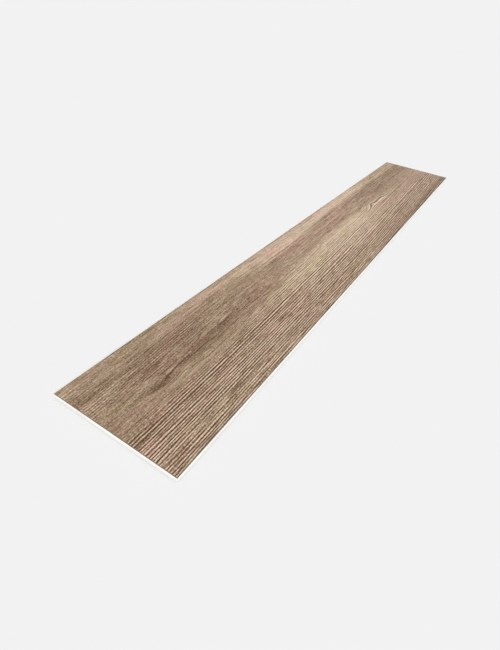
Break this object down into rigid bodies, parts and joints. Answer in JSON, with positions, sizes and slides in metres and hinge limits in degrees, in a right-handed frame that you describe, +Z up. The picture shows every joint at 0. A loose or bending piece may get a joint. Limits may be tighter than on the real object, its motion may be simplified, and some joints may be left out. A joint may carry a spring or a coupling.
{
  "type": "rigid core vinyl plank",
  "caption": "Rigid core vinyl floor plank with an embossed beige brown wood print and click-joint edges.",
  "frame": {"origin": "on the underside, below the middle of the printed face", "axes": "+X along the plank, from its end tongue to its end socket; +Y across it, from its long tongue to its long socket; +Z up out of the printed face"},
  "size_m": [1.2263, 0.1913, 0.0055],
  "materials": {
    "plank": "satin embossed beige brown wood print on the face, darker painted bevel, pale grey milled core"
  },
  "bodies": {
    "root": {"plank": "plank"}
  },
  "joints": []
}
